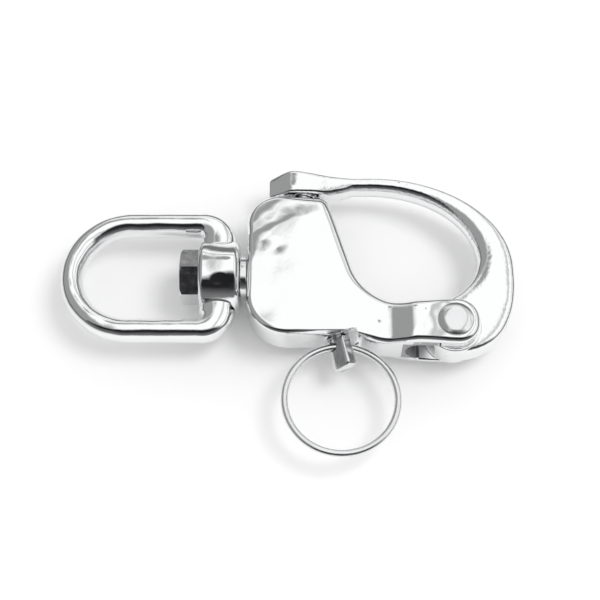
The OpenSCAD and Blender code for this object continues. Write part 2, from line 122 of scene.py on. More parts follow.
# cuts or joins the helpers into the piece, keeps the result and throws the helpers away
def carve(piece, helpers, how="DIFFERENCE", weighted=False, weldGap=0):
    for helper in helpers:
        cut = piece.modifiers.new("cut", "BOOLEAN")
        cut.operation, cut.solver, cut.object = how, "EXACT", helper
    if weldGap:
        piece.modifiers.new("weld", "WELD").merge_threshold = weldGap * mm
    if weighted:
        flat = piece.modifiers.new("flat", "WEIGHTED_NORMAL")
        flat.keep_sharp, flat.weight = True, 60
    shape = piece.evaluated_get(bpy.context.evaluated_depsgraph_get())
    made = bpy.data.meshes.new_from_object(shape)
    piece.modifiers.clear()
    old, piece.data = piece.data, made
    bpy.data.meshes.remove(old)
    for helper in helpers:
        bpy.data.objects.remove(helper)
    made.name = piece.name


# a closed squarish section: x is a times cos t to the power 2/p and y is b times sin t to the same
# power, each with its sign kept; p holds on the outer side (x above 0) and q on the inner side
def squareRound(a, b, p, n, q=None):
    t = (np.arange(n) + 0.5) / n * 2 * np.pi
    c, s = np.cos(t), np.sin(t)
    a, b, p, q = (np.asarray(v, float).reshape(-1, 1) for v in (a, b, p, p if q is None else q))
    k = np.where(c > 0, p, q)
    return a * np.sign(c) * np.abs(c) ** (2 / k), b * np.sign(s) * np.abs(s) ** (2 / k)


# a bar whose section stands across its path: middle plus the side vector times x, and z upwards
def sweptBar(middle, side, width, thick, n, power, innerPower):
    x, z = squareRound(np.asarray(width) / 2, np.asarray(thick) / 2, power, n, innerPower)
    xy = middle[:, None, :] + side[:, None, :] * x[..., None]
    return np.concatenate([xy, np.broadcast_to(z, xy.shape[:2])[..., None]], -1)


# a profile of (distance along the axis, radius) turned about the line from the start point: start plus
# distance times axis plus radius times (cos a times u + sin a times v), with u and v across the axis.
# It is closed by two flat caps, or a hollow one by joining its last point to its first round a hole.
def turnedPiece(name, start, axis, profile, n=96, hollow=False):
    axis = np.asarray(axis, float) / np.linalg.norm(axis)
    u = np.cross(axis, [0, 0, 1.0] if abs(axis[2]) < 0.9 else [1.0, 0, 0])
    u /= np.linalg.norm(u)
    v = np.cross(axis, u)
    a = np.arange(n) / n * 2 * np.pi
    s, r = np.asarray(profile, float).T[..., None, None]
    spokes = np.cos(a)[:, None] * u + np.sin(a)[:, None] * v
    rings = np.asarray(start) + s * axis + r * spokes
    m = len(rings)
    caps = [] if hollow else [np.arange(n)[::-1], np.arange(n) + (m - 1) * n]
    return makePiece(name, rings, gridQuads(m, n, wrapRows=hollow)[:, ::-1], caps)


# a round cutter from a point along an axis, which may begin a little before the point
def rod(name, start, axis, length, radius, n=96, before=0):
    return turnedPiece(name, start, axis, [(-before, radius), (length, radius)], n)


# a profile whose sharp corners become short arcs: each corner is cut back by r along both its lines, at
# most by a share of the shorter one, and a parabola joins the cuts:
# from (1-t)^2 + corner 2t(1-t) + to t^2
def softProfile(points, r, steps=6, most=0.45):
    p = np.asarray(points, float)
    before, corner, after = p[:-2], p[1:-1], p[2:]
    back, ahead = (np.linalg.norm(other - corner, axis=1)[:, None] for other in (before, after))
    cut = np.minimum(r, np.minimum(back, ahead) * most)
    begin, end = corner + (before - corner) / back * cut, corner + (after - corner) / ahead * cut
    t = np.linspace(0, 1, steps + 1)[None, :, None]
    arc = begin[:, None] * (1 - t) ** 2 + 2 * corner[:, None] * t * (1 - t) + end[:, None] * t ** 2
    return np.concatenate([p[:1], arc.reshape(-1, 2), p[-1:]])


# a smooth curve through stations: each span between b and c is the Catmull-Rom cubic of the four
# stations a, b, c, d round it
def through(stations, steps):
    p = np.asarray(stations, float)
    q = np.concatenate([p[:1], p, p[-1:]])
    t = np.linspace(0, 1, steps, endpoint=False)[None, :, None]
    a, b, c, d = q[:-3, None], q[1:-2, None], q[2:-1, None], q[3:, None]
    bend, twist = (2 * a - 5 * b + 4 * c - d) * t ** 2, (3 * b - a - 3 * c + d) * t ** 3
    run = 0.5 * (2 * b + (c - a) * t + bend + twist)
    return np.concatenate([run.reshape(-1, p.shape[1]), p[-1:]])


# the body casting: corner and edge radii, places along X, and radii of the bores
body = {
    "left": 22.55, "right": 38.25, "up": 16.4, "down": 13.6, "halfThick": 4.1,
    "cornerDown": 8, "cornerUp": 6.6, "cornerRight": 2.8, "edge": 1.2, "waistEdge": 2.1,
    "waistFoot": 45.35, "waistRadius": 11,
    "bellyStart": 42.25, "bellyRadius": 10, "bellyBack": 1.5, "bellyRise": 0.8,
    "slopeFoot": 49.75, "slopeTop": 54.45, "forkHalf": 5.75, "bend": 0.7,
    "hinge": (61.95, -11.6), "forkEnd": 4.6, "forkCorner": 4.1,
    "slot": 6, "slotEnd": 9.2, "slotPast": 12, "slotHigh": 10,
    "hingeBore": 2.2, "boltBore": 3, "boltDeep": 8.5, "seat": 5.2, "seatDeep": 0.4,
    "chamber": 2.8, "chamberDeep": 16, "latchBore": 2.01, "plungerAt": 17.7, "lean": 12,
    "edgeSteps": 10, "arcSteps": 28, "kinkLines": 5, "slotSteps": 49, "flatAngle": 40,
}
hinge = np.array(body["hinge"])
hingeFoot, hingeLong = [*body["hinge"], -9], 18  # a line through the whole fork
upright = [0, 0, 1]
tilt = math.radians(body["lean"])
along = np.array([-math.sin(tilt), math.cos(tilt), 0])  # the plunger's axis, into the body
mouth = np.array([body["left"] + body["plungerAt"], -body["down"], 0])  # where it comes out of the front wall
wall = (body["up"] + body["down"]) / math.cos(tilt)


# the outline as one closed line. A corner is (x, y, fillet radius, edge radius). Its arc runs about the
# middle of the fillet, on the bisector at radius / sin(half the angle), and its radius changes by the
# edge radius times the share, which moves the line inwards. The edge radius goes along as third column.
def outlineAt(corners, share):
    c = np.asarray(corners, float)
    before, corner, after, r = np.roll(c, 1, 0)[:, :2], c[:, :2], np.roll(c, -1, 0)[:, :2], c[:, 2]
    inset = c[:, 3] * share
    u = (before - corner) / np.linalg.norm(before - corner, axis=1)[:, None]
    v = (after - corner) / np.linalg.norm(after - corner, axis=1)[:, None]
    half = np.arccos(np.clip((u * v).sum(1), -1, 1)) / 2
    bisector = (u + v) / np.linalg.norm(u + v, axis=1)[:, None]
    middle = corner + bisector * (r / np.sin(half))[:, None]
    first = corner + u * (r / np.tan(half))[:, None] - middle
    last = corner + v * (r / np.tan(half))[:, None] - middle
    start = np.arctan2(first[:, 1], first[:, 0])
    sweep = (np.arctan2(last[:, 1], last[:, 0]) - start + np.pi) % (2 * np.pi) - np.pi
    turnsLeft = u[:, 1] * v[:, 0] - u[:, 0] * v[:, 1] > 0
    radius = np.where(turnsLeft, r - inset, r + inset)
    t = start[:, None] + sweep[:, None] * np.linspace(0, 1, body["arcSteps"] + 1)
    line = middle[:, None] + radius[:, None, None] * np.stack([np.cos(t), np.sin(t)], -1)
    return np.concatenate([line, np.broadcast_to(c[:, None, 3:], (*t.shape, 1))], -1).reshape(-1, 3)


# adds a point to the closed line wherever it crosses the upright line at x0, on the straight between
# the two points there
def withCrossings(line, x0):
    following = np.roll(line, -1, 0)
    k = np.nonzero((line[:, 0] - x0) * (following[:, 0] - x0) < 0)[0]
    share = (x0 - line[k, 0]) / (following[k, 0] - line[k, 0])
    new = line[k] + (following[k] - line[k]) * share[:, None]
    new[:, 0] = x0
    return np.insert(line, k + 1, new, axis=0)


# half thickness over x: level, a straight rise from the slope's foot to its top, and level again; each
# kink is a parabola, (v + b)^2 / 4b, over the bend b to both sides
def halfThick(x):
    foot, top, b = body["slopeFoot"], body["slopeTop"], body["bend"]
    rise = (body["forkHalf"] - body["halfThick"]) / (top - foot)
    soft = lambda v: np.where(v < -b, 0, np.where(v > b, v, (v + b) ** 2 / (4 * b)))
    return body["halfThick"] + rise * (soft(x - foot) - soft(x - top))


# the casting as rings: an edge is a quarter circle, so ring a is the outline moved in by 1 - cos a edge
# radii, and stands 1 - sin a edge radii below the face
def buildBody():
    foot, top, end = hinge[1] - body["forkEnd"], hinge[1] + body["forkEnd"], hinge[0] + body["forkEnd"]
    edge, waistEdge = body["edge"], body["waistEdge"]
    corners = [
        (body["left"], -body["down"], body["cornerDown"], edge),
        (body["bellyStart"], -body["down"], body["bellyRadius"], edge),
        (body["slopeFoot"] - body["bellyBack"], foot + body["bellyRise"], body["bellyRadius"], edge),
        (end, foot, body["forkCorner"], edge), (end, top, body["forkCorner"], edge),
        (body["waistFoot"], top, body["waistRadius"], waistEdge),
        (body["right"], body["up"], body["cornerRight"], waistEdge),
        (body["left"], body["up"], body["cornerUp"], edge)]
    kink = body["bend"] * np.linspace(-1, 1, body["kinkLines"])
    kinks = np.concatenate([body["slopeFoot"] + kink, body["slopeTop"] + kink])
    quarter = np.linspace(0, np.pi / 2, body["edgeSteps"] + 1)
    rings = []
    for side, angles in ((-1, quarter[::-1]), (1, quarter)):
        for a in angles:
            line = outlineAt(corners, 1 - math.cos(a))
            for x0 in kinks:
                line = withCrossings(line, x0)
            z = side * (halfThick(line[:, 0]) - line[:, 2] * (1 - math.sin(a)))
            rings.append(np.column_stack([line[:, :2], z]))
    rings = np.stack(rings)
    m, n = rings.shape[:2]
    # each face is cut into flat strips between the kink lines
    at = [np.nonzero(np.abs(rings[0, :, 0] - x0) < 1e-9)[0] for x0 in kinks]
    strips = [np.r_[0:at[0][0] + 1, at[0][1]:n]]
    strips += [np.r_[p[0]:q[0] + 1, q[1]:p[1] + 1] for p, q in zip(at[:-1], at[1:])]
    strips += [np.r_[at[-1][0]:at[-1][1] + 1]]
    caps = [s[::-1] for s in strips] + [s + (m - 1) * n for s in strips]
    return makePiece("bodyCasting", rings, gridQuads(m, n)[:, ::-1], caps, body["flatAngle"])


# the slot's cutter: a half circle and two straight sides in the X-Z plane, carried along Y
def slotCutter():
    r = body["slot"] / 2
    a = np.pi / 2 + np.linspace(0, np.pi, body["slotSteps"])
    past = hinge[0] + body["slotPast"]
    x = np.concatenate([hinge[0] - body["slotEnd"] + r + r * np.cos(a), [past, past]])
    z = np.concatenate([r * np.sin(a), [-r, r]])
    y = np.array([[hinge[1] - body["slotHigh"]], [hinge[1] + body["slotHigh"]]])
    return ringPiece("slotCutter", np.stack(np.broadcast_arrays(x, y, z), -1))


bodyCasting = buildBody()
carve(bodyCasting, [
    slotCutter(),
    rod("hingeBore", hingeFoot, upright, hingeLong, body["hingeBore"]),
    rod("boltBore", [body["left"], 0, 0], [1, 0, 0], body["boltDeep"], body["boltBore"], before=0.5),
    rod("seat", mouth, along, body["seatDeep"], body["seat"], 160, before=4),
    rod("springBore", mouth, along, body["chamberDeep"], body["chamber"], before=4),
    rod("pinBore", mouth + along * body["chamberDeep"], along, wall - 0.5, body["latchBore"], before=0.5)],
    weighted=True)
print("body", len(bodyCasting.data.polygons))


# the jaw: reach and heights are from the hinge. The block's stations are x from its left end, top and
# foot above the latch face, thickness, and the powers of its outer and inner side; the last is the arm
jaw = {
    "reach": 12.5, "up": 12.9, "inUp": 15.1, "bowWidth": 7.1, "armEnd": 15, "armThick": 4.8, "armWidth": 2.9,
    "latchGap": 0.9, "armLift": 1.4, "latchLength": 12, "latchLeft": 0.3, "noseReach": 2.6,
    "block": ((0, 3.8, 0.6, 2.2, 3.2, 3.2), (0.3, 4.6, 0.2, 2.8, 3.6, 3.6), (4, 5.4, 0, 7, 5.5, 5.5),
              (7.8, 5.1, 0, 7, 5, 5), (12, 4.6, 0, 5.9, 4, 3.2), (16.6, 4.3, 1.4, 4.8, 3.2, 1.8)),
    "outBack": 1, "outPower": 2.5, "inBack": 5.6, "inShort": 0.5, "inTurn": 61,
    "outerPowers": (3.4, 4.2, 6.7), "innerPowers": (1.8, 2.3, 6.3),
    "knuckle": 5.3, "knuckleThick": 5.8, "knuckleProud": 0.02, "knuckleSoft": 0.35, "pinHole": 2.26,
    "socket": 2.15, "socketDeep": 2.8, "steps": 72, "blockSteps": 16, "around": 80, "flatAngle": 40,
}
tipAt = wall + jaw["latchGap"] + jaw["noseReach"]
tip = mouth + along * tipAt


# a quarter of a squarish ellipse with power p: the middle plus a half size times the cosine or sine of
# t to the power 2/p, the sine with its sign kept
def quarterAt(middle, halfSizes, t, p):
    x = middle[0] + halfSizes[0] * np.abs(np.cos(t)) ** (2 / p)
    y = middle[1] + np.sign(np.sin(t)) * halfSizes[1] * np.abs(np.sin(t)) ** (2 / p)
    return np.stack([x, y], -1)


# the jaw as one bar between two lines: the block's curve, then a quarter up to the bow and a quarter
# down to the knuckle for the outer line and for the inner line; a section stands on every pair of points
def buildJaw():
    h, j = hinge, jaw
    latchY = body["up"] + j["latchGap"]
    armY, armX, bowX = latchY + j["armLift"], h[0] - j["armEnd"], h[0] + j["reach"]
    armTop, outY, inY = armY + j["armWidth"], h[1] + j["up"], h[1] + j["inUp"]
    x, top, foot, thick, outerPower, innerPower = np.array(j["block"]).T
    x = x + tip[0] - j["latchLeft"] - j["latchLength"] / 2
    stations = np.stack([x, latchY + top, x, latchY + foot, thick, outerPower, innerPower], -1)
    rise = np.linspace(np.pi / 2, 0, j["steps"])
    fall = -np.linspace(0, np.pi / 2, j["steps"])[1:]
    outLow = (j["reach"] + j["outBack"], j["up"] + j["knuckle"])
    outer = np.concatenate([
        quarterAt((armX, outY), (bowX - armX, armTop - outY), rise, 2),
        quarterAt((h[0] - j["outBack"], outY), outLow, fall, j["outPower"])])
    inLow = (j["reach"] - j["bowWidth"] + j["inBack"], j["inUp"] - j["knuckle"] + j["inShort"])
    inner = np.concatenate([
        quarterAt((armX, inY), (bowX - j["bowWidth"] - armX, armY - inY), rise, 2),
        quarterAt((h[0] - j["inBack"], inY), inLow, fall * j["inTurn"] / 90, 2)])
    # thickness and powers change evenly from arm to bow, and from bow to knuckle
    f = np.linspace(0, 1, j["steps"])
    share = np.concatenate([f, 1 + f[1:]])
    change = lambda values: np.interp(share, [0, 1, 2], values)[:, None]
    thicknesses = (j["armThick"], j["knuckleThick"], j["knuckleThick"])
    bow = np.concatenate([outer, inner, *map(change, (thicknesses, j["outerPowers"], j["innerPowers"]))], 1)
    run = np.concatenate([through(stations, j["blockSteps"]), bow])
    q, p = run[:, 0:2], run[:, 2:4]
    width = np.linalg.norm(q - p, axis=1)
    rings = sweptBar((p + q) / 2, (q - p) / width[:, None], width, run[:, 4], j["around"], run[:, 5], run[:, 6])
    return ringPiece("jawCasting", rings, j["flatAngle"])


jawCasting = buildJaw()
knuckleZ, knuckleRadius = jaw["knuckleThick"] / 2 + jaw["knuckleProud"], jaw["knuckle"]
knuckleProfile = [(-knuckleZ, 0.01), (-knuckleZ, knuckleRadius), (knuckleZ, knuckleRadius), (knuckleZ, 0.01)]
carve(jawCasting, [
    turnedPiece("knuckle", [*hinge, 0], upright, softProfile(knuckleProfile, jaw["knuckleSoft"]), 160)], "UNION")
carve(jawCasting, [
    rod("pinHole", hingeFoot, upright, hingeLong, jaw["pinHole"]),
    rod("socket", mouth + along * wall, along, jaw["latchGap"] + jaw["socketDeep"], jaw["socket"], before=0.5)],
    weldGap=0.001)  # the union leaves slivers on the arm, and the weld closes them
softShade(jawCasting, jaw["flatAngle"])
print("jaw", len(jawCasting.data.polygons))


# the bail: eye and boss are measured across and along the bolt's axis
bail = {
    "eye": 9.2, "bar": 4.4, "thick": 5.6, "eyeLength": 13.4, "cross": 7, "corner": 3.6,
    "boss": 14, "bossLength": 7.8, "bevel": 0.7, "soft": 0.35, "boltHole": 3.06, "power": 2.3, "innerPower": 1.9,
    "crossSteps": 8, "cornerSteps": 24, "straightSteps": 20, "bendSteps": 48, "around": 64, "flatAngle": 40,
}


# the bail's middle line as one loop of (x, y, side angle, width): cross bar, quarter circle, straight
# side and quarter of the big circle, and back by symmetry about the X axis
def buildBail():
    b = bail
    r, crossX = b["eye"] + b["bar"] / 2, b["eyeLength"] + b["cross"] / 2
    cornerX, cornerY = crossX - b["corner"], r - b["corner"]
    rows = lambda *columns: np.stack(np.broadcast_arrays(*columns), -1)
    a, e = np.linspace(0, np.pi / 2, b["cornerSteps"]), np.linspace(np.pi / 2, np.pi, b["bendSteps"])
    width = b["cross"] + (b["bar"] - b["cross"]) * a / (np.pi / 2)
    half = np.concatenate([
        rows(crossX, np.linspace(0, cornerY, b["crossSteps"], endpoint=False), 0, b["cross"]),
        rows(cornerX + b["corner"] * np.cos(a), cornerY + b["corner"] * np.sin(a), a, width),
        rows(np.linspace(cornerX, 0, b["straightSteps"])[1:-1], r, np.pi / 2, b["bar"]),
        rows(r * np.cos(e), r * np.sin(e), e, b["bar"])])
    run = np.concatenate([half, half[1:-1][::-1] * [1, -1, -1, 1]])
    side = np.stack([np.cos(run[:, 2]), np.sin(run[:, 2])], -1)
    rings = sweptBar(run[:, :2], side, run[:, 3], b["thick"], b["around"], b["power"], b["innerPower"])
    return ringPiece("bailLoop", rings, closed=True)


bailLoop = buildBail()
bossStart, bossEnd = bail["eyeLength"], bail["eyeLength"] + bail["bossLength"]
bossRadius, bossBevel = bail["boss"] / 2, bail["bevel"]
bossProfile = [(bossStart, 0.01), (bossStart, bossRadius - bossBevel), (bossStart + bossBevel, bossRadius),
               (bossEnd - bossBevel, bossRadius), (bossEnd, bossRadius - bossBevel), (bossEnd, 0.01)]
carve(bailLoop, [turnedPiece("boss", [0, 0, 0], [1, 0, 0], softProfile(bossProfile, bail["soft"]), 160)], "UNION")
carve(bailLoop, [rod("boltHole", [bossStart, 0, 0], [1, 0, 0], bail["bossLength"] + 1, bail["boltHole"], before=1)])
softShade(bailLoop, bail["flatAngle"])
print("bail", len(bailLoop.data.polygons))


# the swivel bolt: the cone's radii are from the hexagon's corners
bolt = {
    "flats": 9.4, "height": 3.5, "headEnd": 13.3, "turn": 4, "shank": 3, "shankDeep": 8, "overlap": 0.3,
    "bevel": 0.6, "coneStart": -0.45, "coneWide": 0.25, "coneBack": 0.35, "coneEnd": -0.1,
    "soft": 0.12, "softSteps": 3, "softAngle": 25, "flatAngle": 20,
}


# the hexagon head: six corners at flats / 2 / cos 30 degrees from the axis, cut by a double cone, its
# edges softened, with the shank behind it
def buildBolt():
    a = math.radians(bolt["turn"]) + np.arange(6) * np.pi / 3
    c = bolt["flats"] / 2 / math.cos(np.pi / 6)
    start, end = bolt["headEnd"] - bolt["height"], bolt["headEnd"]
    points = np.stack(np.broadcast_arrays([[start], [end]], -c * np.sin(a), c * np.cos(a)), -1)
    head = ringPiece("swivelBolt", points, bolt["flatAngle"])
    cone = turnedPiece("cone", [0, 0, 0], [1, 0, 0], [
        (start, c + bolt["coneStart"]), (start + bolt["bevel"], c + bolt["coneWide"]),
        (end - bolt["coneBack"], c + bolt["coneWide"]), (end, c + bolt["coneEnd"])], 160)
    carve(head, [cone], "INTERSECT")
    soft = head.modifiers.new("soft", "BEVEL")
    soft.width, soft.segments = bolt["soft"] * mm, bolt["softSteps"]
    soft.limit_method, soft.angle_limit = "ANGLE", math.radians(bolt["softAngle"])
    carve(head, [])
    shank = turnedPiece("shank", [0, 0, 0], [1, 0, 0], [
        (end - bolt["overlap"], bolt["shank"]), (body["left"] + bolt["shankDeep"], bolt["shank"])])
    carve(head, [shank], "UNION", weighted=True)
    return head


swivelBolt = buildBolt()

collar = {"from": 21.25, "to": 22.55, "inner": 3.02, "outer": 3.95, "soft": 0.25}
thrustCollar = turnedPiece("thrustCollar", [0, 0, 0], [1, 0, 0], softProfile(
    [(collar["from"], collar["inner"]), (collar["from"], collar["outer"]),
     (collar["to"], collar["outer"]), (collar["to"], collar["inner"])], collar["soft"]), 128, hollow=True)

rivet = {
    "head": 3.4, "height": 0.95, "bevel": 1.1, "shank": 2.2, "rim": 0.3, "rimIn": 0.1,
    "crown": 0.12, "flat": 1.2, "flatDrop": 0.04, "soft": 0.45,
}
faceZ, headZ = body["forkHalf"], body["forkHalf"] + rivet["height"]
rivetHalf = [
    (faceZ, rivet["shank"]), (faceZ, rivet["head"]), (faceZ + rivet["rim"], rivet["head"] - rivet["rimIn"]),
    (headZ - rivet["crown"], rivet["head"] - rivet["bevel"]), (headZ - rivet["flatDrop"], rivet["flat"]), (headZ, 0.01)]
hingeRivet = turnedPiece("hingeRivet", [*hinge, 0], upright, softProfile(
    [(-z, r) for z, r in rivetHalf[::-1]] + rivetHalf, rivet["soft"]), 128)

# the plunger: places are along its axis from the mouth. The tail's rows are (place, share of its
# thickness, share of its width)
pin = {
    "stem": 1.4, "stemEnd": -0.35, "collar": 2.74, "collarFrom": 13.94, "collarTo": 15.94,
    "latch": 1.95, "nose": 0.5,
    "tailThick": 2.5, "tailWidth": 4.2, "tailPower": 7, "turn": 42, "ringHole": 1.025, "holeAt": -1.2,
    "tailRows": ((0.15, 1, 1), (-1, 1, 1), (-3, 1, 1), (-5, 1, 1), (-5.4, 0.94, 0.93), (-5.65, 0.8, 0.78)),
    "tailAround": 64, "flatAngle": 40,
}
across = np.array([math.cos(tilt), math.sin(tilt), 0])
ringAxis = mouth + along * pin["holeAt"]


# one turned profile, joined to the flat tail: squarish sections along the axis, turned about it so that
# their thin side faces across times cos q less Z times sin q
def buildPlunger():
    core = turnedPiece("pullPlunger", mouth, along, [
        (pin["stemEnd"], 0.01), (pin["stemEnd"], pin["stem"]), (pin["collarFrom"], pin["stem"]),
        (pin["collarFrom"], pin["collar"]), (pin["collarTo"], pin["collar"]), (pin["collarTo"], pin["latch"]),
        (tipAt - pin["nose"], pin["latch"]), (tipAt, pin["latch"] - pin["nose"]), (tipAt, 0.01)])
    q = math.radians(pin["turn"])
    face = across * math.cos(q) - np.array(upright) * math.sin(q)
    place, thick, width = np.array(pin["tailRows"]).T
    x, y = squareRound(pin["tailThick"] / 2 * thick, pin["tailWidth"] / 2 * width, pin["tailPower"], pin["tailAround"])
    rings = mouth + place[:, None, None] * along + x[..., None] * face + y[..., None] * np.cross(along, face)
    carve(core, [ringPiece("tail", rings, pin["flatAngle"])], "UNION")
    carve(core, [rod("ringHole", ringAxis, [1, 0, 0], 6, pin["ringHole"], before=6)])
    softShade(core, pin["flatAngle"])
    return core


pullPlunger = buildPlunger()

ring = {"wire": 1.35, "outer": 22.5, "steps": 192, "around": 32}


# a torus that hangs in the tail's hole: the wire's circle of radius w carried round a circle of radius r
# in the plane of the body
def buildRing():
    w, r = ring["wire"] / 2, (ring["outer"] - ring["wire"]) / 2
    u = (np.arange(ring["steps"]) / ring["steps"] * 2 * np.pi)[:, None]
    v = (np.arange(ring["around"]) / ring["around"] * 2 * np.pi)[None, :]
    away = r + w * np.cos(v)
    x, y, z = away * np.cos(u), away * np.sin(u) - r, w * np.sin(v)
    return ringPiece("pullRing", ringAxis + np.stack(np.broadcast_arrays(x, y, z), -1), closed=True)


pullRing = buildRing()

spring = {
    "wire": 0.5, "turns": 7, "radius": 2.1, "from": 3.0, "to": 13.94, "travel": 4.5,
    "steps": 224, "around": 12, "flatAngle": 60,
}


# the coil: the wire's circle carried along a screw line about the plunger's axis
def buildSpring():
    w = spring["wire"] / 2
    t = np.linspace(0, 1, spring["steps"] + 1)[:, None, None]
    b = (np.arange(spring["around"]) / spring["around"] * 2 * np.pi)[None, :, None]
    a = 2 * np.pi * spring["turns"] * t
    r = spring["radius"] + w * np.cos(b)
    s = spring["from"] + w + (spring["to"] - spring["from"] - 2 * w) * t + w * np.sin(b)
    rings = mouth + s * along + r * (np.cos(a) * across + np.sin(a) * np.array(upright))
    return ringPiece("returnSpring", rings, spring["flatAngle"])


returnSpring = buildSpring()
print("small pieces done")


# a node with its settings, and its sockets linked or set to plain values
def addNode(tree, kind, sockets=(), **settings):
    node = tree.nodes.new(kind)
    for key, value in settings.items():
        setattr(node, key, value)
    for socket, source in dict(sockets).items():
        if isinstance(source, bpy.types.NodeSocket):
            tree.links.new(source, node.inputs[socket])
        else:
            node.inputs[socket].default_value = source
    return node


# one step of arithmetic
def calc(tree, operation, *values):
    return addNode(tree, "ShaderNodeMath", dict(enumerate(values)), operation=operation).outputs["Value"]


# a value carried evenly from the range (start, end) to (low, high), and held at both ends
def remap(tree, value, start, end, low=0.0, high=1.0, how="LINEAR"):
    sockets = {"Value": value, "From Min": start, "From Max": end, "To Min": low, "To Max": high}
    return addNode(tree, "ShaderNodeMapRange", sockets, interpolation_type=how).outputs["Result"]


# layered noise between 0 and 1 at a place
def noise(tree, vector, scale, detail, roughness=0.5):
    sockets = {"Vector": vector, "Scale": scale, "Detail": detail, "Roughness": roughness}
    return addNode(tree, "ShaderNodeTexNoise", sockets).outputs["Fac"]


# the distance of a place from a point
def distance(tree, vector, point):
    return addNode(tree, "ShaderNodeVectorMath", {0: vector, 1: point}, operation="DISTANCE").outputs["Value"]


# (1 - factor) times a plus factor times b, for colours; the Mix node has its colours at sockets 6 and 7
def mixColour(tree, factor, a, b):
    return addNode(tree, "ShaderNodeMix", {0: factor, 6: a, 7: b}, data_type="RGBA").outputs[2]


# a group with a Vector input, further inputs with their usual values, and one output
def newGroup(name, inputs, output):
    group = bpy.data.node_groups.new(name, "ShaderNodeTree")
    group.interface.new_socket(name="Vector", in_out="INPUT", socket_type="NodeSocketVector")
    for label, value in inputs.items():
        kind = "NodeSocketVector" if isinstance(value, tuple) else "NodeSocketFloat"
        group.interface.new_socket(name=label, in_out="INPUT", socket_type=kind).default_value = value
    group.interface.new_socket(name=output, in_out="OUTPUT", socket_type="NodeSocketFloat")
    return group, group.nodes.new("NodeGroupInput").outputs, group.nodes.new("NodeGroupOutput").inputs[output]


# hand polish: cloudy noise moves the roughness between a low and a high value
def polishCloudsGroup():
    g, given, out = newGroup("polishClouds", {"Scale": 120.0, "Low": 0.06, "High": 0.16}, "Roughness")
    clouds = noise(g, given["Vector"], given["Scale"], 4.0, 0.6)
    g.links.new(remap(g, clouds, 0.35, 0.7, given["Low"], given["High"]), out)
    return g


# casting ripple: slow waves in the surface, plus fine noise times its amount for the orange peel
def castRippleGroup():
    g, given, out = newGroup("castRipple", {"Slow Scale": 90.0, "Fine Scale": 900.0, "Fine Amount": 0.08}, "Height")
    slow = noise(g, given["Vector"], given["Slow Scale"], 1.0)
    fine = noise(g, given["Vector"], given["Fine Scale"], 3.0)
    g.links.new(calc(g, "ADD", slow, calc(g, "MULTIPLY", fine, given["Fine Amount"])), out)
    return g


# small pits: one at the core of a scattered cell, fading to nothing at its size, and only where a
# second noise is above the spread
def castPitsGroup():
    g, given, out = newGroup("castPits", {"Scale": 700.0, "Size": 0.18, "Spread": 0.62}, "Mask")
    cells = addNode(g, "ShaderNodeTexVoronoi", {"Vector": given["Vector"], "Scale": given["Scale"]})
    core = remap(g, cells.outputs["Distance"], 0.0, given["Size"], 1.0, 0.0)
    keep = calc(g, "GREATER_THAN", noise(g, given["Vector"], 160.0, 2.0), given["Spread"])
    g.links.new(calc(g, "MULTIPLY", core, keep), out)
    return g


# a place where the polishing wheel took more or less: a smooth step over the distance from a centre,
# which a slow noise shifts so that its rim is uneven
def wheelDipGroup():
    g, given, out = newGroup("wheelDip", {"Centre": (0.0, 0.0, 0.0), "Inner": 0.001, "Outer": 0.004}, "Height")
    away = distance(g, given["Vector"], given["Centre"])
    uneven = calc(g, "MULTIPLY_ADD", noise(g, given["Vector"], 170.0, 1.0), 0.0024, away)
    g.links.new(remap(g, uneven, given["Inner"], given["Outer"], how="SMOOTHSTEP"), out)
    return g


# the slot between the cheeks: a painted shade darkens its colour, and its roughness is that of the raw casting
# where the wheel never reached. 1 where the height is within the half width and X is past its start, fading smoothly to
# 0 towards the jaw
def slotShadeAndRawCastGroup():
    g, given, out = newGroup("slotShadeAndRawCast", {"Half Width": 0.003, "From X": 0.052, "Fade X": 0.0545, "To X": 0.059}, "Mask")
    place = addNode(g, "ShaderNodeSeparateXYZ", {0: given["Vector"]}).outputs
    within = calc(g, "LESS_THAN", calc(g, "ABSOLUTE", place["Z"]), given["Half Width"])
    past = calc(g, "GREATER_THAN", place["X"], given["From X"])
    fade = remap(g, place["X"], given["Fade X"], given["To X"], 1.0, 0.0, "SMOOTHSTEP")
    g.links.new(calc(g, "MULTIPLY", within, calc(g, "MULTIPLY", fade, past)), out)
    return g


polishClouds, castRipple, castPits = polishCloudsGroup(), castRippleGroup(), castPitsGroup()
wheelDip, slotShadeAndRawCast = wheelDipGroup(), slotShadeAndRawCastGroup()
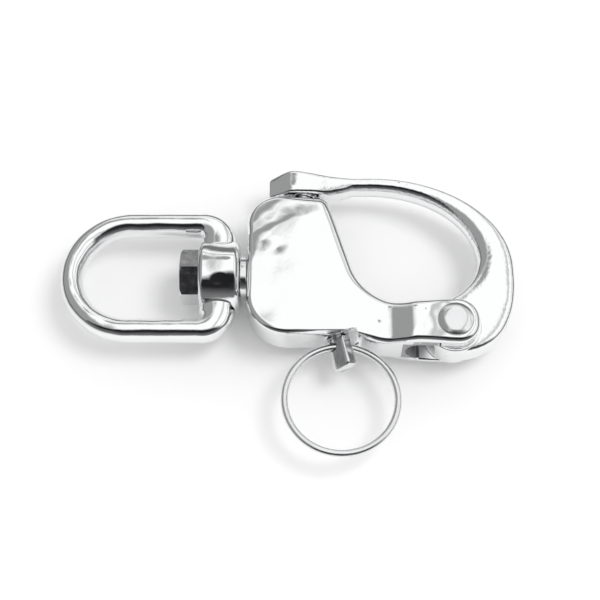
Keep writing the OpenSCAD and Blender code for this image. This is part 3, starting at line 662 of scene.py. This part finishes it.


# a steel: clouds on the roughness, ripple and pits in the height, pits darker in colour, then one bump
# for each dip, and between the cheeks a painted shade in the colour and the raw casting's higher roughness
def steelMaterial(name, look):
    m = bpy.data.materials.new(name)
    m.use_nodes = True
    t = m.node_tree
    t.nodes.clear()
    where = t.nodes.new("ShaderNodeTexCoord").outputs["Object"]
    place = lambda group, values: addNode(t, "ShaderNodeGroup", {"Vector": where, **values}, node_tree=group).outputs[0]
    bump = lambda height, depth, strength, **more: addNode(t, "ShaderNodeBump", {
        "Strength": strength, "Distance": depth * mm, "Height": height, **more}).outputs["Normal"]
    rough = place(polishClouds, look["clouds"])
    pits = place(castPits, look["pits"])
    colour = mixColour(t, pits, look["colour"], look["pitColour"])
    # between the cheeks the colour is darkened as painted shade, and the roughness is raised for the raw casting
    if "slotShadeAndRaw" in look:
        mask = place(slotShadeAndRawCast, look["slotShadeAndRaw"])
        colour = mixColour(t, mask, colour, look["slotShadeColour"])
        rough = addNode(t, "ShaderNodeMix", {0: mask, 2: rough, 3: look["rawRough"]}).outputs[0]
    normal = bump(place(castRipple, look["ripple"]), look["depth"], look["bump"])
    normal = bump(pits, -look["pitDepth"], look["bump"], Normal=normal)
    for centre, inner, outer, depth in look.get("dips", ()):
        values = {"Centre": [v * mm for v in centre], "Inner": inner * mm, "Outer": outer * mm}
        normal = bump(place(wheelDip, values), depth, 1.0, Normal=normal)
    shade = addNode(t, "ShaderNodeBsdfPrincipled", {
        "Base Color": colour, "Roughness": rough, "Normal": normal, "Metallic": 1.0})
    addNode(t, "ShaderNodeOutputMaterial", {"Surface": shade.outputs["BSDF"]})
    return m


# the values of the ripple group by their names
def ripples(slow, fine, amount):
    return {"Slow Scale": slow, "Fine Scale": fine, "Fine Amount": amount}


# looks: scales are in waves a metre, depths and dips in mm; a dip is (centre, inner and outer radius,
# depth), and a negative depth falls away outwards
castLook = {
    "colour": (0.93, 0.935, 0.94, 1), "pitColour": (0.30, 0.31, 0.32, 1), "pitDepth": 0.04, "depth": 0.5,
    "clouds": {"Scale": 140.0, "Low": 0.05, "High": 0.13}, "pits": {"Scale": 650.0, "Size": 0.14, "Spread": 0.70}}
bodyLook = {
    **castLook, "bump": 0.6, "ripple": ripples(100.0, 900.0, 0.04),
    # the slot between the cheeks: its darker colour is painted shade, and its roughness is the raw casting
    "slotShadeColour": (0.44, 0.44, 0.45, 1), "rawRough": 0.5,
    "slotShadeAndRaw": {"Half Width": 3.02 * mm, "From X": 52.1 * mm, "Fade X": 54.5 * mm, "To X": 59 * mm},
    "dips": [((40, -4, 4.1), 18.2, 24.5, -0.94), ((25.4, 6, 4.1), 0.3, 3.6, 0.17), ((28.4, 4.4, 4.1), 0.3, 3.4, 0.14),
             ((25, -8, 4.1), 1, 6.5, 0.2), ((47.4, -11, 4.1), 0.3, 2.6, 0.24), ((56.6, -9.4, 5.75), 0.3, 2.2, 0.2)]}
jawLook = {
    **castLook, "bump": 0.8, "ripple": ripples(130.0, 1300.0, 0.09),
    "pits": {"Scale": 700.0, "Size": 0.2, "Spread": 0.6},
    "dips": [((70.5, 1, 2.9), 0.3, 3.5, 0.03), ((42, 19.5, 3), 0.4, 4, 0.06)]}
bailLook = {
    **castLook, "bump": 0.8, "ripple": ripples(170.0, 900.0, 0.05),
    "dips": [((19.6, 0.5, 7), 1, 6.6, -0.55), ((17.6, -3.6, 6.2), 0.8, 3, 0.16), ((18.5, 9, 3), 0.3, 3.6, 0.08)]}
turnedLook = {
    "colour": (0.82, 0.825, 0.83, 1), "pitColour": (0.22, 0.22, 0.23, 1), "pitDepth": 0.04,
    "depth": 0.1, "bump": 0.35,
    "clouds": {"Scale": 900.0, "Low": 0.12, "High": 0.26}, "ripple": ripples(200.0, 1500.0, 0.2),
    "pits": {"Scale": 900.0, "Size": 0.14, "Spread": 0.62}}
wireLook = {
    "colour": (0.84, 0.845, 0.85, 1), "pitColour": (0.28, 0.29, 0.30, 1), "pitDepth": 0.04,
    "depth": 0.1, "bump": 0.3,
    "clouds": {"Scale": 400.0, "Low": 0.2, "High": 0.32}, "ripple": ripples(150.0, 1500.0, 0.1),
    "pits": {"Scale": 900.0, "Size": 0.12, "Spread": 0.7}}
turnedSteel, wireSteel = steelMaterial("turnedSteel", turnedLook), steelMaterial("wireSteel", wireLook)
bodySteel, jawSteel = steelMaterial("bodySteel", bodyLook), steelMaterial("jawSteel", jawLook)
bailSteel = steelMaterial("bailSteel", bailLook)

# each piece with its steel, the body it rides on, its material slot and the CAD node that it stands for
for piece, material, bodyName, slotName, node in (
        (bodyCasting, bodySteel, "frame_body", "polished_steel", "body"),
        (jawCasting, jawSteel, "jaw", "polished_steel", "jaw"),
        (bailLoop, bailSteel, "bail", "polished_steel", "bail"),
        (swivelBolt, turnedSteel, "frame_body", "polished_steel", "swivel_bolt"),
        (thrustCollar, turnedSteel, "frame_body", "polished_steel", "thrust_washer"),
        (hingeRivet, turnedSteel, "frame_body", "pin_steel", "hinge_pin"),
        (pullPlunger, turnedSteel, "plunger", "pin_steel", "plunger"),
        (pullRing, wireSteel, "ring", "polished_steel", "pull_ring"),
        (returnSpring, turnedSteel, "frame_body", "pin_steel", "plunger_spring")):
    piece.data.materials.clear()
    piece.data.materials.append(material)
    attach(piece, bodyName)
    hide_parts(node)
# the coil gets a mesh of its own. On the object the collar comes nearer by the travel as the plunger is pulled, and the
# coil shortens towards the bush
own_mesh(returnSpring)
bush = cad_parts["guide_bush"]
if not bush.material_slots:
    bush.data.materials.append(turnedSteel)
for slot in bush.material_slots:
    slot.material = turnedSteel
print("materials done")


# the floor is white paper just below the lowest point. Polished metal sees it grow dark away from the
# object, and the camera sees it lit a little, more so towards the horizon
paper = {
    "white": (0.93, 0.93, 0.93, 1), "dark": (0.03, 0.03, 0.03, 1), "rough": 0.9, "sheen": 0.1,
    "half": 1.5, "below": 0.00002, "middle": (0.033, -0.005, 0.0),
    "darkFade": (0.05, 0.13, 0.0, 0.85), "lift": (0.09, 0.3, 0.03, 0.28),
}
floorZ = float(min(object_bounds()[0][2], cadBox[0][2])) - paper["below"]
floorMesh = bpy.data.meshes.new("floor")
half = paper["half"]
floorMesh.from_pydata([(-half, -half, floorZ), (half, -half, floorZ), (half, half, floorZ), (-half, half, floorZ)],
                      [], [(0, 1, 2, 3)])
floor = bpy.data.objects.new("floor", floorMesh)
scene.collection.objects.link(floor)
floorMaterial = bpy.data.materials.new("paperFloor")
floorMaterial.use_nodes = True
tree = floorMaterial.node_tree
away = distance(tree, tree.nodes.new("ShaderNodeTexCoord").outputs["Object"], paper["middle"])
ray = tree.nodes.new("ShaderNodeLightPath").outputs
shade = tree.nodes["Principled BSDF"]
shade.inputs["Roughness"].default_value = paper["rough"]
shade.inputs["Specular IOR Level"].default_value = paper["sheen"]
shade.inputs["Emission Color"].default_value = (1, 1, 1, 1)
darkness = calc(tree, "MULTIPLY", remap(tree, away, *paper["darkFade"]), ray["Is Glossy Ray"])
tree.links.new(mixColour(tree, darkness, paper["white"], paper["dark"]), shade.inputs["Base Color"])
lift = calc(tree, "MULTIPLY", ray["Is Camera Ray"], remap(tree, away, *paper["lift"]))
tree.links.new(lift, shade.inputs["Emission Strength"])
floor.data.materials.append(floorMaterial)
print("floor done")

# what polished metal sees: a bright tent, dark in front, grey on the left, along the horizon and on a
# small card, and two thin grey lines. Each is (full until, gone from, darkness), over a direction's x, y
# or z or over the distance from a place on the sphere
surroundings = {
    "bright": (1.06, 1.06, 1.06, 1), "dark": (0.012, 0.012, 0.014, 1), "sky": 0.84,
    "front": (-0.52, -0.30, 1.0), "frontRise": (0.0, 0.6, 0.82, 1.0), "left": (-0.44, -0.22, 0.70),
    "skirt": (0.2, 0.34, 0.84), "cardAt": (-0.2, 0.62, 0.76), "card": (0.12, 0.25, 0.7),
    "highLineAt": 0.49, "highLine": (0.02, 0.07, 0.5), "rightLineAt": 0.42, "rightLine": (0.03, 0.11, 0.45),
}
world = bpy.data.worlds.new("studio")
scene.world = world
world.use_nodes = True
tree = world.node_tree
tree.nodes.clear()
ray = tree.nodes.new("ShaderNodeLightPath").outputs
direction = tree.nodes.new("ShaderNodeTexCoord").outputs["Generated"]
part = addNode(tree, "ShaderNodeSeparateXYZ", {0: direction}).outputs


# full darkness up to one value, none from the other
def shadow(value, key):
    full, gone, strength = surroundings[key]
    return remap(tree, value, full, gone, strength, 0.0)


# how far a value is from a line's place
def fromLine(value, key):
    return calc(tree, "ABSOLUTE", calc(tree, "SUBTRACT", value, surroundings[key]))


darkness = calc(tree, "MULTIPLY", shadow(part["Y"], "front"), remap(tree, part["Z"], *surroundings["frontRise"]))
for share in (
        shadow(part["X"], "left"), shadow(part["Z"], "skirt"),
        shadow(distance(tree, direction, surroundings["cardAt"]), "card"),
        shadow(fromLine(part["Z"], "highLineAt"), "highLine"),
        shadow(fromLine(part["X"], "rightLineAt"), "rightLine")):
    darkness = calc(tree, "MAXIMUM", darkness, share)
tent = mixColour(tree, darkness, surroundings["bright"], surroundings["dark"])


# light of one colour and strength from every side
def skyOf(colour, strength):
    return addNode(tree, "ShaderNodeBackground", {"Color": colour, "Strength": strength}).outputs[0]


# polished metal sees the tent, the camera sees plain white, and all else is lit by the soft sky
white = (1, 1, 1, 1)
unseen = addNode(tree, "ShaderNodeMixShader", {
    0: ray["Is Glossy Ray"], 1: skyOf(white, surroundings["sky"]), 2: skyOf(tent, 1.0)})
seen = addNode(tree, "ShaderNodeMixShader", {0: ray["Is Camera Ray"], 1: unseen.outputs[0], 2: skyOf(white, 1.0)})
addNode(tree, "ShaderNodeOutputWorld", {"Surface": seen.outputs[0]})

# the key lamp and the camera, both aimed at one point; angles in degrees, lengths in metres
studio = {
    "aim": (0.03286, -0.00488, 0.0), "distance": 0.2316, "elevation": 64,
    "lens": 72, "sensor": 36, "clip": (0.01, 20),
    "keyPower": 2.6, "keyAzimuth": 100, "keyElevation": 62, "keyDistance": 0.9, "keySize": 0.4,
}
aim = np.array(studio["aim"])


# the direction from the aim at an azimuth, counted from -Y towards +X, and an elevation
def towards(azimuth, elevation):
    a, e = math.radians(azimuth), math.radians(elevation)
    return np.array([math.sin(a) * math.cos(e), -math.cos(a) * math.cos(e), math.sin(e)])


lampData = bpy.data.lights.new("key", "AREA")
lampData.shape, lampData.size, lampData.energy = "DISK", studio["keySize"], studio["keyPower"]
lamp = bpy.data.objects.new("key", lampData)
lampSide = towards(studio["keyAzimuth"], studio["keyElevation"])
lamp.location = aim + lampSide * studio["keyDistance"]
lamp.rotation_mode = "QUATERNION"
lamp.rotation_quaternion = Vector(-lampSide).to_track_quat("-Z", "Y")
lamp.visible_glossy = False  # its reflection would wash out the flat face
scene.collection.objects.link(lamp)

camera = bpy.data.objects.new("camera", bpy.data.cameras.new("camera"))
camera.location = aim + studio["distance"] * towards(0, studio["elevation"])
camera.rotation_euler = (math.radians(90 - studio["elevation"]), 0, 0)
camera.data.lens, camera.data.sensor_width = studio["lens"], studio["sensor"]
camera.data.clip_start, camera.data.clip_end = studio["clip"]
scene.collection.objects.link(camera)
scene.camera = camera
scene.view_settings.view_transform = "Standard"
print("studio done")
